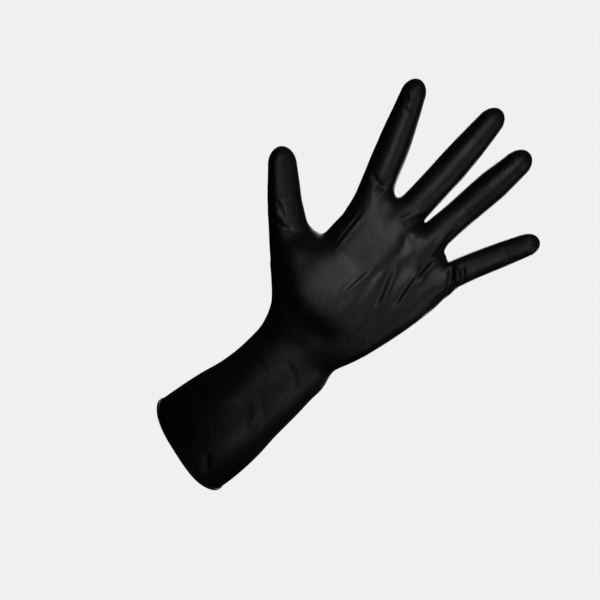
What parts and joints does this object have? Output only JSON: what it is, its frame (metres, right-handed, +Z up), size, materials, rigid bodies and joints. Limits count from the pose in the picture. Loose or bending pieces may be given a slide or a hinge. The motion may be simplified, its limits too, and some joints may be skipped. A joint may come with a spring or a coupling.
{
  "type": "disposable long-cuff glove",
  "caption": "Black disposable long-cuff glove in the shape of an open left hand, with a rolled bead at the cuff and film that bends at every joint of the hand.",
  "frame": {"origin": "centre of the cuff's opening, in the plane of its rim", "axes": "+Z up the forearm to the fingers, -Y out of the palm, -X to the thumb's side"},
  "size_m": [0.1494, 0.0672, 0.2814],
  "materials": {
    "film": "thin black nitrile film, satin",
    "film_fold": "thin black nitrile film, satin, wrinkled over the joints",
    "bead": "rolled black nitrile, satin"
  },
  "bodies": {
    "cuff": {"cuff_sleeve": "film", "cuff_band": "film", "cuff_bead": "bead", "wrist_fold": "film_fold"},
    "palm": {"palm": "film", "thumb_web": "film_fold", "thumb_root_fold": "film_fold", "index_knuckle_fold": "film_fold", "middle_knuckle_fold": "film_fold", "ring_knuckle_fold": "film_fold", "little_knuckle_fold": "film_fold"},
    "thumb_base": {"thumb_base": "film", "thumb_knuckle_fold": "film_fold"},
    "thumb_middle": {"thumb_middle": "film", "thumb_end_fold": "film_fold"},
    "thumb_tip": {"thumb_tip": "film"},
    "index_base": {"index_base": "film", "index_middle_fold": "film_fold"},
    "index_middle": {"index_middle": "film", "index_end_fold": "film_fold"},
    "index_tip": {"index_tip": "film"},
    "middle_base": {"middle_base": "film", "middle_middle_fold": "film_fold"},
    "middle_middle": {"middle_middle": "film", "middle_end_fold": "film_fold"},
    "middle_tip": {"middle_tip": "film"},
    "ring_base": {"ring_base": "film", "ring_middle_fold": "film_fold"},
    "ring_middle": {"ring_middle": "film", "ring_end_fold": "film_fold"},
    "ring_tip": {"ring_tip": "film"},
    "little_base": {"little_base": "film", "little_middle_fold": "film_fold"},
    "little_middle": {"little_middle": "film", "little_end_fold": "film_fold"},
    "little_tip": {"little_tip": "film"}
  },
  "joints": [
    {"name": "wrist_bend", "type": "hinge", "parent": "cuff", "child": "palm", "pos_m": [-0.007, 0, 0.088], "axis": [1, 0, 0], "range_deg": [-55, 65], "deforming": ["wrist_fold"]},
    {"name": "thumb_root_bend", "type": "hinge", "parent": "palm", "child": "thumb_base", "pos_m": [-0.023, 0, 0.104], "axis": [0.4648, 0, 0.8854], "range_deg": [-8, 40], "deforming": ["thumb_root_fold", "thumb_web"]},
    {"name": "thumb_knuckle_bend", "type": "hinge", "parent": "thumb_base", "child": "thumb_middle", "pos_m": [-0.06196, 0, 0.12445], "axis": [0.3287, 0.7071, 0.6261], "range_deg": [-6, 44], "deforming": ["thumb_knuckle_fold"]},
    {"name": "thumb_end_bend", "type": "hinge", "parent": "thumb_middle", "child": "thumb_tip", "pos_m": [-0.08904, -0.00236, 0.14134], "axis": [0.3287, 0.7071, 0.6261], "range_deg": [-6, 66], "deforming": ["thumb_end_fold"]},
    {"name": "index_knuckle_bend", "type": "hinge", "parent": "palm", "child": "index_base", "pos_m": [-0.051, 0, 0.178], "axis": [0.8192, -0.2588, 0.5119], "range_deg": [-15, 72], "deforming": ["index_knuckle_fold"]},
    {"name": "index_middle_bend", "type": "hinge", "parent": "index_base", "child": "index_middle", "pos_m": [-0.07317, -0.00207, 0.21243], "axis": [0.8192, -0.2588, 0.5119], "range_deg": [-7, 88], "deforming": ["index_middle_fold"]},
    {"name": "index_end_bend", "type": "hinge", "parent": "index_middle", "child": "index_tip", "pos_m": [-0.08661, -0.0061, 0.2319], "axis": [0.8192, -0.2588, 0.5119], "range_deg": [-5, 57], "deforming": ["index_end_fold"]},
    {"name": "middle_knuckle_bend", "type": "hinge", "parent": "palm", "child": "middle_base", "pos_m": [-0.034, 0, 0.185], "axis": [0.9796, 0, 0.2011], "range_deg": [-15, 72], "deforming": ["middle_knuckle_fold"]},
    {"name": "middle_middle_bend", "type": "hinge", "parent": "middle_base", "child": "middle_middle", "pos_m": [-0.04294, -0.00233, 0.22853], "axis": [0.9796, 0, 0.2011], "range_deg": [-7, 88], "deforming": ["middle_middle_fold"]},
    {"name": "middle_end_bend", "type": "hinge", "parent": "middle_middle", "child": "middle_tip", "pos_m": [-0.04848, -0.00719, 0.25554], "axis": [0.9796, 0, 0.2011], "range_deg": [-5, 57], "deforming": ["middle_end_fold"]},
    {"name": "ring_knuckle_bend", "type": "hinge", "parent": "palm", "child": "ring_base", "pos_m": [-0.014, 0, 0.183], "axis": [0.9949, 0, 0.1011], "range_deg": [-15, 72], "deforming": ["ring_knuckle_fold"]},
    {"name": "ring_middle_bend", "type": "hinge", "parent": "ring_base", "child": "ring_middle", "pos_m": [-0.01834, -0.00225, 0.22572], "axis": [0.9949, 0, 0.1011], "range_deg": [-7, 88], "deforming": ["ring_middle_fold"]},
    {"name": "ring_end_bend", "type": "hinge", "parent": "ring_middle", "child": "ring_tip", "pos_m": [-0.02113, -0.00711, 0.25316], "axis": [0.9949, 0, 0.1011], "range_deg": [-5, 57], "deforming": ["ring_end_fold"]},
    {"name": "little_knuckle_bend", "type": "hinge", "parent": "palm", "child": "little_base", "pos_m": [0.005, 0, 0.175], "axis": [0.9448, 0.2588, -0.2008], "range_deg": [-15, 72], "deforming": ["little_knuckle_fold"]},
    {"name": "little_middle_bend", "type": "hinge", "parent": "little_base", "child": "little_middle", "pos_m": [0.01295, -0.00182, 0.21006], "axis": [0.9448, 0.2588, -0.2008], "range_deg": [-7, 88], "deforming": ["little_middle_fold"]},
    {"name": "little_end_bend", "type": "hinge", "parent": "little_middle", "child": "little_tip", "pos_m": [0.01842, -0.00551, 0.23105], "axis": [0.9448, 0.2588, -0.2008], "range_deg": [-5, 57], "deforming": ["little_end_fold"]}
  ],
  "couplings": [
    {"joint": "index_end_bend", "follows": "index_middle_bend", "ratio": 0.64},
    {"joint": "middle_end_bend", "follows": "middle_middle_bend", "ratio": 0.64},
    {"joint": "ring_end_bend", "follows": "ring_middle_bend", "ratio": 0.64},
    {"joint": "little_end_bend", "follows": "little_middle_bend", "ratio": 0.64}
  ]
}
